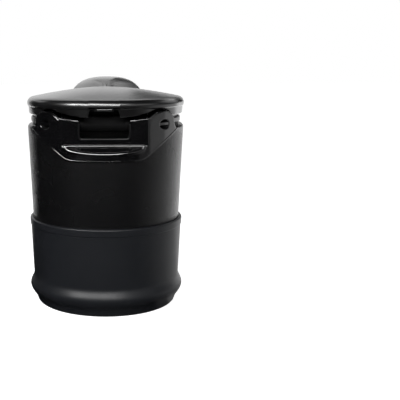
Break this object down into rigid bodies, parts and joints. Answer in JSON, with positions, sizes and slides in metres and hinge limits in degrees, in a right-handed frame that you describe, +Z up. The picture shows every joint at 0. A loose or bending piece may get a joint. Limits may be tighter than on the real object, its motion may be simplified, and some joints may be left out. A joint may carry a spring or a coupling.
{
  "type": "car ashtray",
  "caption": "Tapered cup-holder ashtray with a rubber grip sleeve, an inner steel bowl, a snuffer insert and a domed lid with a thumb tab that swings up on a rear hinge yoke.",
  "frame": {"origin": "centre of the foot, on the axis of the cup", "axes": "+Z up along the cup's axis, hinge towards -Y, thumb tab towards +Y, hinge axis along X"},
  "size_m": [0.077, 0.0811, 0.1109],
  "materials": {
    "cup_plastic": "satin black, fine horizontal grain",
    "yoke_plastic": "glossy black",
    "lid_plastic": "satin black",
    "insert_plastic": "matt black, heat resistant",
    "rubber": "matt blue-black rubber",
    "seal_rubber": "soft black rubber",
    "steel": "plain steel"
  },
  "bodies": {
    "cup": {"grip_sleeve": "rubber", "outer_cup": "cup_plastic", "ash_bowl": "steel", "collar_gasket": "seal_rubber", "collar": "cup_plastic", "hinge_yoke": "yoke_plastic", "snuffer_insert": "insert_plastic", "hinge_pin_left": "steel", "hinge_pin_right": "steel", "washer_left": "steel", "washer_right": "steel", "yoke_screw_left": "steel", "yoke_screw_right": "steel"},
    "lid": {"lid_shell": "lid_plastic", "lid_liner": "insert_plastic", "lid_seal": "seal_rubber", "heat_shield": "steel", "liner_screw_1": "steel", "liner_screw_2": "steel", "liner_screw_3": "steel", "liner_screw_4": "steel"}
  },
  "joints": [
    {"name": "lid_hinge", "type": "hinge", "parent": "cup", "child": "lid", "pos_m": [0, -0.027, 0.0905], "axis": [1, 0, 0], "range_deg": [0, 70]}
  ]
}
